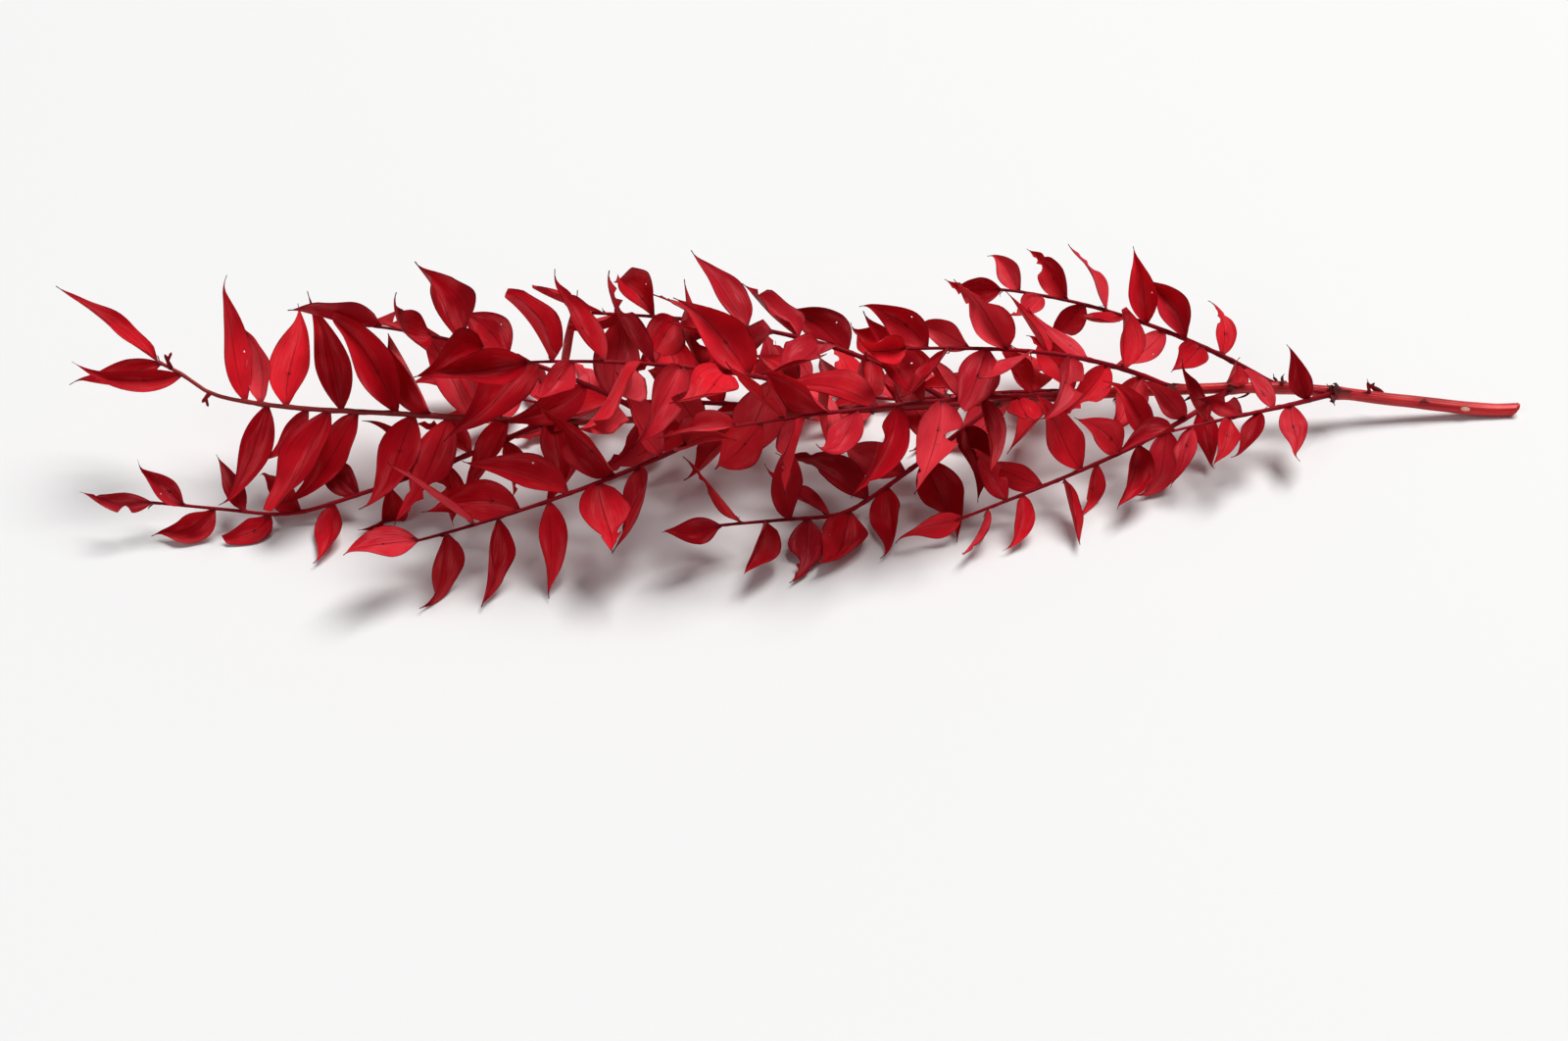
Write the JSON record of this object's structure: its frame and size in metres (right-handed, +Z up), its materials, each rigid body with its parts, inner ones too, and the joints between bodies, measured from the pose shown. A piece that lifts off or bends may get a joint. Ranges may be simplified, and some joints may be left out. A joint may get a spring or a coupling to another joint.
{
  "type": "dried ruscus stem",
  "caption": "Dried and dyed ruscus stem lying down: a slender cut stalk with leafy side shoots all round and pointed, folded, curved leaf-like blades in flat rows.",
  "frame": {"origin": "centre of the bounding box, on the surface that the stem lies on", "axes": "+X along the stem towards its cut end, -X towards its leafy tip, +Z up from the surface"},
  "size_m": [0.6189, 0.1754, 0.1116],
  "materials": {
    "stalk": "satin",
    "blades": "matte"
  },
  "bodies": {
    "root": {"main_stem": "stalk", "side_shoot_01": "blades", "side_shoot_02": "blades", "side_shoot_03": "blades", "side_shoot_04": "blades", "side_shoot_05": "blades", "side_shoot_06": "blades", "side_shoot_07": "blades", "side_shoot_08": "blades", "side_shoot_09": "blades", "side_shoot_10": "blades", "side_shoot_11": "blades", "side_shoot_12": "blades", "side_shoot_13": "blades"}
  },
  "joints": []
}
